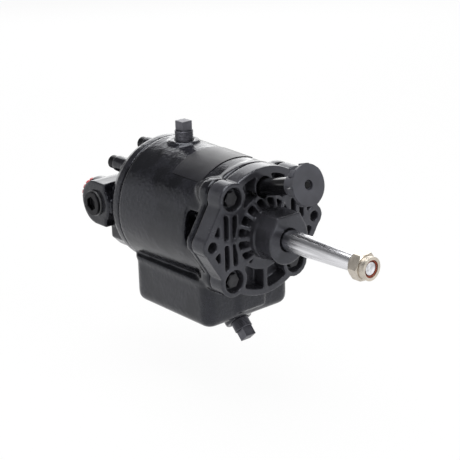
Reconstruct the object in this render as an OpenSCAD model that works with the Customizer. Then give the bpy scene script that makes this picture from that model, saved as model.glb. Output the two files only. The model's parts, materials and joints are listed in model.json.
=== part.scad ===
// Hydraulic steering helm pump for a boat. The wheel's shaft turns an axial ball-piston pump inside a
// cast oil reservoir, behind a ribbed cover that bolts to the dash. A lock valve sits in the rear cover.
// Millimetres. X runs to the right seen from the wheel, Y to the rear along the shaft, Z up.
// The origin is on the shaft axis, in the front face of the cover, which seats on the dash.

/* [Front cover] */
// Thickness from the dash face to the joint with the body
cover_t = 17; // [15:0.5:20]
// Thickness of the floor behind the ribs
cover_floor = 4; // [3:0.5:6]
// How far the round part of the cover stands out of the body
cover_step = 1; // [0.5:0.25:3]
// Width of the rim around the pockets
cover_rim = 6.5; // [5:0.5:8]
// Distance of the dash holes outside the round part of the cover
ear_out = 1; // [0.5:0.25:4]
// Diameter of the dash holes
ear_hole_d = 9.5; // [8:0.1:11]
// Radius of the ears around the dash holes
ear_r = 10; // [9:0.5:12]
// Distance between the cover bolts, across
bolt_dx = 72.8; // [70:0.2:76]
// Distance between the cover bolts, up
bolt_dz = 74.8; // [72:0.2:78]
// Radius of the bosses around the cover bolts
boss_r = 14.7; // [13.5:0.1:16]
// Width of the webs between ears and bosses
web_w = 19; // [18.5:0.25:19.5]
// Diameter of the recess around each bolt head
recess_d = 20.6; // [18:0.1:22]
// Depth of the recess around each bolt head
recess_depth = 9; // [7:0.5:11]
// Width of the ribs
rib_w = 5; // [4:0.25:6]
// Distance between neighbouring upright ribs
rib_pitch = 9.8; // [9:0.1:11]
// Outer radius of the ring wall around the hub
ring_r = 34.5; // [33:0.5:36]
// Thickness of the ring wall
ring_wall = 4; // [3:0.5:5]
// Number of gussets between hub and ring wall
gusset_count = 16; // [12:1:20]
// Thickness of each gusset
gusset_w = 4; // [2.5:0.25:5]
// How far the gussets climb the hub ahead of the dash face
gusset_rise = 6; // [3:0.5:6.5]
// Half angle of the solid part of the ring under the hub
web_angle = 35; // [25:1:45]
// Width of the solid land between the hub and the pockets around it
hub_land = 1; // [0.5:0.25:2]
// Width of the solid land between the filler's neck and the pockets
neck_land = 2; // [1:0.25:3]

/* [Hub] */
// Radius of the round part of the hub
hub_r = 23.4; // [23:0.1:25]
// Length of the round part of the hub ahead of the dash face
hub_step = 10; // [7:0.5:14]
// Length of the whole hub ahead of the dash face
hub_len = 31; // [28:0.5:36]
// Radius of the nose
nose_r = 22.3; // [21:0.1:22.8]
// Width of the flat on top of the nose
nose_flat = 26.4; // [22:0.2:30]
// Angle where the nose's shoulders leave its round sides
nose_shoulder = 18; // [10:1:25]
// Thickness of the lip in front of the shaft seal
nose_lip = 3.5; // [2.5:0.25:5]
// Outer radius of the tube behind the cover that carries the swash plate
tube_r = 30; // [28:0.5:32]
// Length of that tube
tube_len = 17; // [14:0.5:22]

/* [Cover bolts] */
// Thread diameter of the cover bolts
bolt_d = 8; // [6:0.5:9]
// Size of the bolt heads across flats
bolt_af = 12; // [10:0.5:14]
// Height of the bolt heads
bolt_head_h = 6.5; // [5:0.5:8]
// Height of the round crown on the bolt heads
bolt_crown = 0.5; // [0.3:0.1:0.8]
// Length of the bolts under the head
bolt_len = 32; // [26:1:38]

/* [Shaft] */
// Diameter of the shaft at the large end of the taper
shaft_d = 19.05; // [18:0.05:20]
// Length of the straight part between hub and taper
straight_len = 26; // [20:1:34]
// Length of the taper for the wheel
taper_len = 51; // [44:1:58]
// Length over which the taper loses one unit of diameter
taper_ratio = 12; // [11:0.5:14]
// Thread diameter at the end of the shaft
thread_d = 13; // [11:0.1:14]
// Gap between the taper and the nut, where a wheel's hub sits
nut_gap = 3.5; // [2:0.5:6]
// Radius of the collar that holds the shaft in place
collar_r = 14.5; // [13:0.5:16]
// Thickness of the collar
collar_t = 5; // [4:0.5:7]
// Width of the key in the taper
key_w = 4.76; // [4:0.1:6]
// Diameter of the half-round key
key_d = 19; // [16:0.5:22]
// Chamfer on both ends of the shaft
shaft_chamfer = 1; // [0.5:0.25:1.5]
// Height of the key above the taper
key_rise = 2; // [1.5:0.1:3]

/* [Wheel nut] */
// Size of the nut across flats
nut_af = 22; // [21:0.25:24]
// Height of the six-sided part
nut_h = 10.5; // [8:0.5:12]
// Height of the round collar that holds the insert
nut_collar_h = 5.5; // [4.5:0.5:7]
// Radius of the round collar
nut_collar_r = 10.2; // [9.8:0.1:10.5]
// Wall of the round collar
nut_collar_wall = 1.3; // [1:0.1:1.6]
// Height of the chamfers on the nut's corners
nut_chamfer = 1.8; // [1:0.1:2]

/* [Shaft support] */
// Outer radius of the shaft seal
seal_r = 15; // [14:0.25:16.5]
// Width of the shaft seal
seal_w = 7; // [5:0.5:8]
// Thickness of the seal's shell and lip
seal_skin = 1.5; // [1:0.1:2]
// Outer radius of the front bush
bush_r = 12.5; // [11.5:0.25:14]
// Length of the front bush
bush_len = 20; // [16:0.5:22]
// Thickness of the thrust washer behind the front bush
washer_t = 2; // [1.5:0.1:3]
// Length of the rear bush
rear_bush_len = 14; // [10:0.5:16]
// Wall of the rear bush
rear_bush_wall = 3; // [2.5:0.25:3.5]
// Thickness of the snap ring at the rear end of the shaft
snap_t = 1.2; // [1:0.1:1.6]
// Width of the snap ring
snap_w = 3; // [2.5:0.25:3.5]
// Opening of the snap ring
snap_opening = 4; // [3:0.5:6]
// Depth of the snap ring's groove
snap_depth = 1; // [0.8:0.1:1.2]
// Length of the shaft behind the snap ring
snap_edge = 2.5; // [2:0.25:4]

/* [Pump] */
// Number of ball pistons
piston_count = 7; // [5:2:7]
// Diameter of the ball pistons
piston_d = 18; // [16:0.25:18.5]
// Radius of the circle of ball pistons
piston_circle_r = 26; // [25.5:0.25:28]
// Tilt of the swash plate
swash_tilt = 7; // [5:0.5:8]
// Least thickness of the swash plate
swash_min_t = 5; // [4:0.5:8]
// Thickness of each bearing race
race_t = 3; // [2.5:0.25:4]
// Room between the shaft and the parts of the swash bearing
shaft_room = 5; // [4.5:0.25:6]
// Width of the races beyond the circle of pistons
race_land = 6; // [5:0.25:7]
// Diameter of the bearing balls
bearing_ball_d = 5; // [4:0.25:6]
// Number of bearing balls
bearing_ball_count = 14; // [10:1:16]
// Thickness of the ball cage
cage_t = 3; // [2:0.25:3.5]
// Outer radius of the rotor
rotor_r = 39; // [38.5:0.25:42]
// Length of the rotor behind the plane of the ball centres
rotor_tail = 32; // [29:0.5:38]
// Thickness of the rotor's floor behind its bores
rotor_floor = 7; // [5:0.5:9]
// Diameter of the pin that drives the rotor
drive_pin_d = 6; // [5:0.25:7]
// Wire diameter of the piston springs
piston_wire_d = 1.6; // [1.2:0.1:2]
// Radius of the piston springs
piston_coil_r = 5.5; // [5:0.1:6]
// Number of curls of each piston spring
piston_curls = 4; // [3:1:5]
// Thickness of the port plate
port_plate_t = 10; // [8:0.5:14]
// Diameter of the dowels that hold the port plate
dowel_d = 5; // [4:0.25:6]
// How far the dowels reach into the port plate and the rear cover
dowel_reach = 6; // [4:0.5:7]

/* [Body] */
// Length of the body casting
body_len = 116; // [112:1:130]
// Outer radius at the front of the body
body_r_front = 58; // [57:0.25:59]
// Outer radius at the rear of the body
body_r_rear = 62; // [61:0.25:64]
// Wall thickness of the body and sump
body_wall = 5.5; // [4.5:0.25:6.5]
// Thickness of the body's front flange
flange_t = 7; // [6:0.5:9]
// Thickness of the gaskets at both ends of the body
gasket_t = 1; // [0.6:0.1:1.5]
// How far the gaskets stay inside the edges around them
seam_set = 1.3; // [0.5:0.1:2]
// Length of the bolt bosses behind the flange
body_boss_len = 10; // [8:1:16]
// Step in radius from the flange to the bosses behind it
boss_step = 0.2; // [0.2:0.1:0.5]
// Radius of the hollows behind the ears, for a wrench
hollow_r = 17; // [15:0.5:18]
// Length of those hollows
hollow_len = 16; // [12:1:24]
// Height of their middle above the shaft axis
hollow_z = 8; // [4:0.5:10]
// Distance of the level plug from the body's rear
plug_ahead = 24; // [24:1:32]
// How far the level plug's seat stands out of the body
plug_rise = 2; // [0.5:0.25:3]
// Radius of the level plug's seat
plug_seat_r = 14.5; // [12:0.5:16]

/* [Sump] */
// Width of the sump
sump_w = 100; // [92:1:104]
// Depth of the sump below the shaft axis
sump_z = 88.5; // [82:0.5:95]
// Distance of the sump's front from the body's front
sump_front = 4; // [2:0.5:8]
// Distance of the sump's rear from the body's rear
sump_back = 3; // [2:0.5:10]
// Radius of the sump's upright corners
sump_corner = 11; // [10:0.5:16]
// Rounding around the sump's bottom
sump_round = 9; // [6:0.5:10]
// Height of the lip where the sump meets the body, below the shaft axis
lip_z = 42; // [38:0.5:46]
// Thickness of the lip
lip_t = 4; // [3:0.5:6]
// How far the lip stands out
lip_out = 1; // [0.5:0.25:2.5]
// Width of the bulge on the sump's front
bulge_w = 32; // [28:1:40]
// Distance of the bulge's front from the body's front
bulge_front = 0.5; // [0.25:0.25:2]

/* [Pipe plugs] */
// Diameter of the plugs
plug_d = 17.1; // [15:0.1:19]
// Height of the round part that shows
plug_show = 8.5; // [6:0.5:12]
// Depth of the plug in its seat
plug_depth = 9; // [7:0.5:11]
// Size of the square head
plug_square = 11.1; // [9:0.1:12]
// Height of the square head
plug_square_h = 9; // [6:0.5:10]
// Chamfer on the corners of the square head
plug_corner = 0.4; // [0.3:0.1:1.2]
// Angle of the drain plug below the horizontal
drain_angle = 46; // [38:1:52]
// Distance of the drain plug's seat from the body's front
drain_back = 19.5; // [17:0.5:22]
// Depth of the drain plug's seat below the shaft axis
drain_z = 97; // [94:0.5:100]
// Radius of the drain boss
drain_boss_r = 13.5; // [12:0.5:16]
// Radius of the passage from the sump to the drain plug
drain_hole_r = 4; // [3:0.5:5]

/* [Filler] */
// Depth of the neck's root behind the dash face
neck_y = 10.5; // [9:0.5:12]
// Height of the neck's root above the shaft axis
neck_z = 38.2; // [37:0.2:40]
// Upward tilt of the neck
neck_tilt = 14.4; // [12:0.2:17]
// Length of the neck
neck_len = 59; // [52:0.5:66]
// Radius of the neck
neck_r = 7.7; // [7:0.1:8.5]
// Bore of the neck
neck_bore_r = 5.2; // [4.5:0.1:5.8]
// Radius of the neck's base ring
neck_base_r = 9.2; // [8.8:0.1:10]
// Length of the neck's base ring
neck_base_len = 4; // [3:0.5:6]
// Width of the ring around the neck's base
neck_ring_w = 1.6; // [1.2:0.1:2]
// Depth of that ring's groove
neck_ring_depth = 1.2; // [0.8:0.1:1.4]
// Radius of the cap
cap_r = 18; // [16:0.5:20]
// Thickness of the cap's head
cap_t = 6.7; // [5.5:0.1:9]
// Thickness of the cap's face in front of its grip lobes
cap_face_t = 3.2; // [2.8:0.1:4]
// Width of the grip lobes
cap_lobe_w = 6.5; // [4:0.5:8]
// How far the grip lobes stand out of the cap
cap_lobe_out = 0.6; // [0.3:0.1:1.5]
// Radius of the cap's sleeve
cap_sleeve_r = 9.6; // [9.4:0.1:11]
// Length of the cap's sleeve
cap_sleeve_len = 14; // [11:0.5:20]
// Number of grip lobes on the cap
cap_lobes = 7; // [4:1:10]
// Angle of the first grip lobe from the right-hand horizontal
cap_turn = 84; // [0:1:90]
// Diameter of the vent in the cap
vent_d = 9; // [7:0.5:11]
// Depth of the vent's recess
vent_depth = 2.5; // [1.5:0.25:3.5]
// Thickness of the cap's seal
cap_seal_t = 2; // [1.5:0.25:3]

/* [Label] */
// Distance of the label's front edge from the body's front
label_front = 22; // [20:1:30]
// Length of the label along the shaft axis
label_len = 39; // [30:1:44]
// Angle of the label's lower edge from the right-hand horizontal
label_low = 131; // [120:1:138]
// Angle that the label covers
label_sweep = 64; // [50:1:80]
// Thickness of the label plate
label_t = 0.5; // [0.3:0.1:0.8]
// Thickness of the glue under the label
label_glue = 0.12; // [0.1:0.01:0.15]

/* [Rear cover] */
// Thickness of the rear flange
rear_flange_t = 8; // [6:0.5:10]
// How far the rear flange stays inside the body's rear edge
rear_step = 1; // [0.5:0.25:2]
// Distance of the rear screws inside the body's rear edge
rear_screw_in = 12; // [11:0.25:12]
// How much nearer the shaft axis the top and bottom rear screws sit
rear_mid_in = 3.5; // [0:0.25:3.5]
// Radius of the bosses in the body for the rear screws
rear_boss_r = 11.2; // [10.8:0.1:11.2]
// Width of the rim behind the rear flange
rear_rim_w = 11; // [8:0.5:14]
// Height of that rim
rear_rim_len = 8; // [4:0.5:10]
// How far the rim leans in over its height
rear_rim_in = 4; // [1:0.25:5]
// Radius of the posts around the rear screws, at their root
post_r = 8; // [7.5:0.25:10]
// Radius of the posts at their end
post_tip_r = 7.5; // [7:0.25:8]
// Length of the posts behind the rear flange
post_len = 25; // [20:1:30]
// Thread diameter of the rear screws
rear_screw_d = 8; // [6:0.5:8.5]
// Head diameter of the rear screws
rear_head_d = 12.5; // [11:0.5:13]
// Head height of the rear screws
rear_head_h = 7; // [5:0.5:8]
// How far the rear screws reach into the body
rear_screw_grip = 14; // [10:0.5:14]
// Half width of the valve housing's foot
foot_x = 49; // [44:0.5:52]
// Lower end of the foot below the shaft axis
foot_low = 44; // [38:0.5:46]
// Upper end of the foot above the shaft axis
foot_high = 18; // [16:0.5:19]
// Size of the foot's cut lower corners
foot_corner = 10; // [6:1:14]
// Radius of the boss that carries the port plate
inner_boss_r = 34; // [33.5:0.25:38]

/* [Lock valve] */
// Distance of the valve bore behind the rear flange
valve_back = 31; // [28:0.5:36]
// Half length of the valve housing
valve_x = 60; // [57:0.5:64]
// Radius of the valve housing
valve_r = 21.3; // [20:0.1:22]
// Distance from the bore axis to the flat front of the housing
valve_flat = 16; // [14:0.25:17]
// Radius of the valve bore
bore_r = 9; // [8:0.1:9.5]
// Half length of the spool
spool_half = 14; // [12:0.25:15]
// Travel of the spool each way
spool_travel = 1.8; // [1:0.1:2]
// Distance of the check seats from the middle
seat_x = 18; // [17.5:0.25:20]
// Thickness of the check seats
seat_t = 6; // [5:0.25:7]
// Radius of the opening in the check seats
seat_hole_r = 4.5; // [4:0.1:5]
// Head radius of the check valves
check_r = 7.2; // [6.5:0.1:7.5]
// Head thickness of the check valves
check_t = 4; // [3:0.25:5]
// Radius of the check valves' stems
check_stem_r = 3.8; // [3:0.1:4]
// Length of the check valves' stems
check_stem_len = 5; // [4:0.5:6]
// Wire diameter of the check springs
check_wire_d = 1; // [0.8:0.1:1.2]
// Number of curls of each check spring
check_curls = 6; // [4:1:8]
// Distance of the hose ports from the middle
port_x = 39; // [37:0.25:39.5]
// Bore radius of the hose ports
port_bore_r = 6; // [5:0.1:6.5]
// Radius of the port bosses
port_boss_r = 17; // [15:0.25:18]
// Reach of the port bosses behind the bore axis
port_reach = 25; // [22:0.5:28]
// Length of the thread of the end plugs
end_plug_len = 14; // [11:0.5:14]
// Head radius of the end plugs
end_plug_head_r = 11.5; // [10.5:0.25:13]
// Head height of the end plugs
end_plug_head_h = 2.5; // [2:0.25:4]
// Size of the six-sided socket of the end plugs
end_plug_socket = 12; // [8:0.5:13]
// Thickness of the sealing washers under the end plugs
plug_washer_t = 2; // [1:0.1:2.5]

/* [Transport caps] */
// Head radius of the caps in the hose ports
port_cap_r = 14; // [13:0.25:15]
// Head thickness of the caps
port_cap_t = 6; // [4:0.5:8]
// Length of the caps' stems in the ports
port_cap_stem = 9; // [6:0.5:11]
// Number of teeth around the caps
port_cap_teeth = 16; // [12:1:24]

/* [Clearances] */
// Radial gap of screws in their holes
screw_gap = 0.15; // [0.1:0.05:0.3]
// Radial gap of turning and sliding fits
run_gap = 0.06; // [0.03:0.01:0.1]
// Gap between faces that turn past each other
face_gap = 0.15; // [0.1:0.05:0.3]
// Radial gap of parts that are set in a pocket
set_gap = 0.05; // [0.02:0.01:0.1]
// Radial gap of the ball pistons in the rotor
piston_gap = 0.35; // [0.3:0.05:0.45]
// Radial gap of the cap over the neck
cap_gap = 0.3; // [0.2:0.05:0.4]
// Wide gap around parts that pass without guiding
free_gap = 1; // [0.8:0.1:1.5]

/* [Hidden] */
$fn = 72;
// Overrun of cuts past the faces that they open, and of joined shapes into each other
cut = 1;
// How far flat faces stay inside the round faces that they join
face_tuck = 0.1;

// Places along the shaft axis, from the dash face to the rear
pocket_y = cover_t - cover_floor;
body_y = cover_t + gasket_t;
body_end = body_y + body_len;
rear_y = body_end + gasket_t;
cover_r = body_r_front + cover_step;
ear_span = 2 * (cover_r + ear_out);
rear_r = body_r_rear - rear_step;
rear_screw_r = body_r_rear - rear_screw_in;
rear_flange_end = rear_y + rear_flange_t;
post_end = rear_flange_end + post_len;
valve_y = rear_flange_end + valve_back;
seal_y = nose_lip - hub_len;
bush_y = seal_y + seal_w + free_gap;
bush_end = bush_y + bush_len;
washer_y = bush_end;
collar_y = washer_y + washer_t + face_gap;
collar_end = collar_y + collar_t;
tube_end = cover_t + tube_len;

// The taper and thread of the shaft
shaft_r = shaft_d / 2;
taper_y = -hub_len - straight_len;
taper_end = taper_y - taper_len;
taper_r = (shaft_d - taper_len / taper_ratio) / 2;
thread_r = thread_d / 2;
nut_y = taper_end - nut_gap;
nut_mid = nut_y - nut_h;
nut_end = nut_mid - nut_collar_h;
thread_end = nut_end + nut_collar_wall;
key_mid = (taper_y + taper_end) / 2;
key_mid_r = (shaft_r + taper_r) / 2;

// The swash plate and its bearing lie in a tilted frame whose origin is the middle of the ball circle
piston_r = piston_d / 2;
race_out = piston_circle_r + race_land;
bearing_gap = bearing_ball_d + 2 * face_gap;
race_back = -piston_r - face_gap;
race_front = race_back - race_t;
fixed_back = race_front - bearing_gap;
fixed_front = fixed_back - race_t;
bearing_mid = (race_front + fixed_back) / 2;
race_in = shaft_r + shaft_room;
piston_y = tube_end + swash_min_t - fixed_front * cos(swash_tilt) + race_out * sin(swash_tilt);
rotor_front = piston_y - piston_r * cos(swash_tilt) + race_out * sin(swash_tilt) + free_gap;
rotor_end = piston_y + rotor_tail;
bore_circle_r = piston_circle_r * (1 + cos(swash_tilt)) / 2;
rotor_bore_end = rotor_end - rotor_floor;
plate_y = rotor_end + face_gap;
plate_end = plate_y + port_plate_t;
drive_pin_y = (piston_y + rotor_end) / 2;
port_slot_r = piston_r / 3;
rear_bush_r = shaft_r + rear_bush_wall;
rear_bush_y = plate_end + free_gap;
rear_bush_end = rear_bush_y + rear_bush_len;
snap_y = rear_bush_end + free_gap;
shaft_end = snap_y + snap_t + snap_edge;
shaft_well_r = rear_bush_r + free_gap;
shaft_well_end = shaft_end + free_gap;

// The body's cone, and the filler
body_slope = (body_r_rear - body_r_front) / body_len;
level_plug_y = body_end - plug_ahead;
plug_seat_z = body_r(level_plug_y) + plug_rise;
hollow_end = body_y + flange_t + hollow_len;
sump_y = body_y + sump_front;
sump_end = body_end - sump_back;
sump_len = sump_end - sump_y;
drain_y = body_y + drain_back;
cap_y = neck_len - cap_sleeve_len + cap_seal_t;

// The lock valve along its bore, measured from the middle
check_x = seat_x + seat_t + set_gap;
check_nose_x = spool_half + spool_travel + face_gap;
end_plug_x = valve_x - end_plug_len;

// Radius of the body at a place along the shaft axis
function body_r(y) = body_r_front + (y - body_y) * body_slope;

// Upright copies of a flat outline between two places along the shaft axis
module plate(y0, y1) {
    translate([0, y1, 0]) rotate([90, 0, 0]) linear_extrude(y1 - y0) children();
}

// Round bar along the shaft axis
module rod(y0, y1, r, x = 0, z = 0) {
    translate([x, y0, z]) rotate([-90, 0, 0]) cylinder(h = y1 - y0, r = r);
}

// Round bar that widens along the shaft axis
module cone(y0, y1, r0, r1, x = 0, z = 0) {
    translate([x, y0, z]) rotate([-90, 0, 0]) cylinder(h = y1 - y0, r1 = r0, r2 = r1);
}

// Round bar along the valve bore, from one distance to another on one side
module cross_rod(side, x0, x1, r) {
    translate([side * x0, valve_y, 0]) rotate([0, side * 90, 0]) cylinder(h = x1 - x0, r = r);
}

// Turned part along the shaft axis: the outline's x is its radius and its y is the place along the axis
module turned() {
    rotate([-90, 0, 0]) rotate_extrude() children();
}

// Six-sided bar of a size across flats
module hex(af) {
    circle(r = af / 2 / cos(30), $fn = 6);
}

// Frame of the swash plate and its bearing
module tilted() {
    translate([0, piston_y, 0]) rotate([swash_tilt, 0, 0]) children();
}

// Frame of the filler, with z along the neck
module on_neck() {
    translate([0, neck_y, neck_z]) rotate([90 - neck_tilt, 0, 0]) children();
}

// Frame of the drain plug, with z out of the sump
module on_drain() {
    translate([0, drain_y, -drain_z]) rotate([90 + drain_angle, 0, 0]) children();
}

// Copies at the four cover bolts
module at_bolts() {
    for (sx = [-1, 1], sz = [-1, 1]) translate([sx * bolt_dx / 2, 0, sz * bolt_dz / 2]) children();
}

// Copies at the six rear screws
module at_rear_screws() {
    for (a = [45, 90, 135, 225, 270, 315]) rotate([0, -a, 0])
        translate([rear_screw_r - (a % 180 == 90 ? rear_mid_in : 0), 0, 0]) children();
}

// Outline shared by the cover, its gasket and the body's flange, drawn in by a distance
module outline(inset) {
    circle(cover_r - inset);
    for (sx = [-1, 1]) {
        ear = [sx * ear_span / 2, 0];
        translate(ear) circle(ear_r - inset);
        for (sz = [-1, 1]) {
            boss = [sx * bolt_dx / 2, sz * bolt_dz / 2];
            translate(boss) circle(boss_r - inset);
            translate(ear) rotate(atan2(boss[1] - ear[1], boss[0] - ear[0]))
                translate([0, inset - web_w / 2]) square([norm(boss - ear), web_w - 2 * inset]);
        }
    }
}

// Ribs of the cover, seen from the front
module ribs() {
    first = ring_r - rib_w;
    for (sx = [-1, 1]) {
        for (i = [0:2])
            translate([sx * (first + i * rib_pitch) - rib_w / 2, -cover_r]) square([rib_w, 2 * cover_r]);
        for (sz = [-1, 1]) rotate(atan2(sz * bolt_dz, sx * bolt_dx))
            translate([0, -rib_w / 2]) square([norm([bolt_dx, bolt_dz]) / 2, rib_w]);
    }
    translate([-ear_span / 2, -rib_w / 2]) square([ear_span, rib_w]);
    translate([-rib_w / 2, -cover_r]) square([rib_w, cover_r]);
}

// Pockets between the rim, the ribs and the ring wall
module rib_pockets() {
    difference() {
        outline(cover_rim);
        circle(ring_r);
        ribs();
        for (sx = [-1, 1]) {
            translate([sx * ear_span / 2, 0]) circle(ear_r);
            for (sz = [-1, 1]) translate([sx * bolt_dx / 2, sz * bolt_dz / 2]) circle(boss_r);
        }
        translate([0, neck_z + neck_base_r / 2]) circle(neck_base_r + neck_land);
    }
}

// Pockets between the hub and the ring wall, left solid under the hub
module ring_pockets() {
    web = 2 * ring_r * [sin(web_angle), -cos(web_angle)];
    difference() {
        circle(ring_r - ring_wall);
        circle(hub_r + hub_land);
        for (i = [0:gusset_count - 1]) rotate(i * 360 / gusset_count)
            translate([hub_r, -gusset_w / 2]) square([ring_r - hub_r, gusset_w]);
        polygon([[0, 0], [-web[0], web[1]], web]);
    }
}

// Sloped fins from the hub down to the ring wall, none over the solid part
module gussets() {
    root = hub_r - cut;
    tip = ring_r - ring_wall / 2;
    for (i = [0:gusset_count - 1]) {
        a = i * 360 / gusset_count;
        if (abs(a - 90) > web_angle) rotate([0, a, 0]) translate([0, 0, -gusset_w / 2])
            linear_extrude(gusset_w) polygon([[root, -gusset_rise], [tip, 0], [tip, cut], [root, cut]]);
    }
}

// Round hub, with a nose that is flat on top
module hub() {
    side = nose_r - face_tuck;
    shoulder = side * [cos(nose_shoulder), sin(nose_shoulder)];
    rod(-hub_step, cover_t, hub_r);
    plate(-hub_len, cut - hub_step) {
        circle(nose_r);
        polygon([[-shoulder[0], shoulder[1]], shoulder, [nose_flat / 2, nose_r], [-nose_flat / 2, nose_r]]);
    }
}

// Ribbed cover with the hub, two ears and four bolt bosses
module front_cover() {
    color("#2b2c30") difference() {
        union() {
            plate(0, cover_t) outline(0);
            hub();
            gussets();
            rod(cover_t - cut, tube_end, tube_r);
        }
        plate(-cut, pocket_y) rib_pockets();
        plate(-cut, pocket_y) ring_pockets();
        rod(-hub_len - cut, seal_y + cut, shaft_r + free_gap);
        rod(seal_y, seal_y + seal_w, seal_r + set_gap);
        rod(seal_y + seal_w - cut, bush_end, bush_r + set_gap);
        rod(washer_y, tube_end + cut, collar_r + free_gap);
        for (sx = [-1, 1]) rod(-cut, cover_t + cut, ear_hole_d / 2, sx * ear_span / 2);
        at_bolts() {
            rod(-cut, recess_depth, recess_d / 2);
            rod(0, cover_t + cut, bolt_d / 2 + screw_gap);
        }
        on_neck() cylinder(h = 2 * neck_len, r = neck_base_r + set_gap);
        on_neck() translate([0, 0, -cover_t]) cylinder(h = 2 * cover_t, r = neck_bore_r);
    }
}

// Flat gasket between cover and body
module front_gasket() {
    color("#1b1b1c") difference() {
        union() {
            difference() {
                plate(cover_t, body_y) outline(seam_set);
                rod(cover_t - cut, body_y + cut, body_r_front - body_wall);
            }
            at_bolts() rod(cover_t, body_y, boss_r - seam_set);
        }
        for (sx = [-1, 1]) rod(cover_t - cut, body_y + cut, ear_hole_d / 2, sx * ear_span / 2);
        at_bolts() rod(cover_t - cut, body_y + cut, bolt_d / 2 + screw_gap);
    }
}

// Four bolts that hold the cover to the body
module front_bolts() {
    color("#a9abad") at_bolts() {
        plate(recess_depth - bolt_head_h, recess_depth) hex(bolt_af);
        rod(recess_depth - bolt_head_h - bolt_crown, recess_depth - bolt_head_h, bolt_af / 2 - bolt_crown);
        rod(recess_depth, recess_depth + bolt_len, bolt_d / 2);
    }
}

// Lip seal around the shaft
module shaft_seal() {
    lip = shaft_r + run_gap;
    back = seal_y + seal_w;
    color("#202124") turned() polygon([
        [lip, seal_y + seal_skin], [lip + seal_skin, seal_y + seal_skin], [lip + seal_skin, back - seal_skin],
        [seal_r - seal_skin, back - seal_skin], [seal_r - seal_skin, seal_y], [seal_r, seal_y],
        [seal_r, back], [lip, back]
    ]);
}

// Plain bearing in the hub
module front_bush() {
    color("#b08d4f") difference() {
        rod(bush_y, bush_end, bush_r);
        rod(bush_y - cut, bush_end + cut, shaft_r + run_gap);
    }
}

// Washer between the front bush and the shaft's collar
module thrust_washer() {
    color("#b89a5a") difference() {
        rod(washer_y, washer_y + washer_t, collar_r + free_gap - set_gap);
        rod(washer_y - cut, washer_y + washer_t + cut, shaft_r + run_gap);
    }
}

// Half-round key blank, grown by a gap
module key_disc(grow) {
    translate([key_mid_r + key_rise / 2 - key_d / 4, key_mid, 0])
        cylinder(h = key_w + 2 * grow, r = key_d / 2 + grow, center = true);
}

// Shaft with a taper for the wheel, a collar and a rear journal
module steering_shaft() {
    groove_r = shaft_r - snap_depth;
    color("#d8dade") difference() {
        turned() polygon([
            [0, thread_end], [thread_r - shaft_chamfer, thread_end], [thread_r, thread_end + shaft_chamfer],
            [thread_r, taper_end], [taper_r, taper_end], [shaft_r, taper_y], [shaft_r, collar_y],
            [collar_r, collar_y], [collar_r, collar_end], [shaft_r, collar_end], [shaft_r, snap_y],
            [groove_r, snap_y], [groove_r, snap_y + snap_t], [shaft_r, snap_y + snap_t],
            [shaft_r, shaft_end - shaft_chamfer], [shaft_r - shaft_chamfer, shaft_end], [0, shaft_end]
        ]);
        key_disc(set_gap);
        rod_across(drive_pin_y, shaft_d + 2 * cut, drive_pin_d / 2 + set_gap);
    }
}

// Round bar across the shaft, along X
module rod_across(y, len, r) {
    translate([-len / 2, y, 0]) rotate([0, 90, 0]) cylinder(h = len, r = r);
}

// Half-round key that locks the wheel to the taper
module wheel_key() {
    top = key_mid_r + key_rise;
    color("#8d8f92") intersection() {
        key_disc(0);
        translate([top - key_d, key_mid - key_d, -key_d]) cube([key_d, 2 * key_d, 2 * key_d]);
    }
}

// Six-sided lock nut for the wheel, with a round collar
module wheel_nut() {
    corner = nut_af / 2 / cos(30);
    color("#cbb894") difference() {
        union() {
            intersection() {
                plate(nut_mid, nut_y) hex(nut_af);
                turned() polygon([[0, nut_mid], [nut_af / 2, nut_mid], [corner + cut, nut_mid + nut_chamfer],
                    [corner + cut, nut_y - nut_chamfer], [nut_af / 2, nut_y], [0, nut_y]]);
            }
            rod(nut_end, nut_mid + cut, nut_collar_r);
        }
        rod(nut_end - cut, nut_y + cut, thread_r + set_gap);
        rod(nut_end + nut_collar_wall, nut_mid, nut_collar_r - nut_collar_wall);
        rod(nut_end - cut, nut_mid, nut_collar_r - 2 * nut_collar_wall);
    }
}

// Nylon ring that locks the nut
module nut_insert() {
    color("#a0543c") difference() {
        rod(nut_end + nut_collar_wall + set_gap, nut_mid, nut_collar_r - nut_collar_wall - set_gap);
        rod(nut_end - cut, nut_mid + cut, thread_r + set_gap);
    }
}

// Open ring in the groove at the rear end of the shaft
module shaft_snap_ring() {
    inner_r = shaft_r - snap_depth + set_gap;
    color("#6f7276") plate(snap_y + set_gap, snap_y + snap_t - set_gap) difference() {
        circle(inner_r + snap_w);
        circle(inner_r);
        translate([-snap_opening / 2, 0]) square([snap_opening, 2 * shaft_r]);
    }
}

// Wedge that tilts the bearing, seated on the cover's tube
module swash_plate() {
    color("#7d8084") difference() {
        rod(tube_end, piston_y, race_out);
        tilted() rod(fixed_front, piston_y, 3 * race_out);
        rod(tube_end - cut, piston_y + cut, race_in);
    }
}

// Washer of the swash bearing between two places in the tilted frame
module race(y0, y1) {
    tilted() difference() {
        rod(y0, y1, race_out - free_gap);
        rod(y0 - cut, y1 + cut, race_in);
    }
}

// Race that stays still against the swash plate
module fixed_race() {
    color("#b9bcc0") race(fixed_front, fixed_back);
}

// Race that turns with the ball pistons
module turning_race() {
    color("#c4c7ca") race(race_front, race_back);
}

// Places of the bearing balls
module at_bearing_balls() {
    for (i = [0:bearing_ball_count - 1]) rotate([0, i * 360 / bearing_ball_count, 0])
        translate([piston_circle_r, bearing_mid, 0]) children();
}

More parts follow.
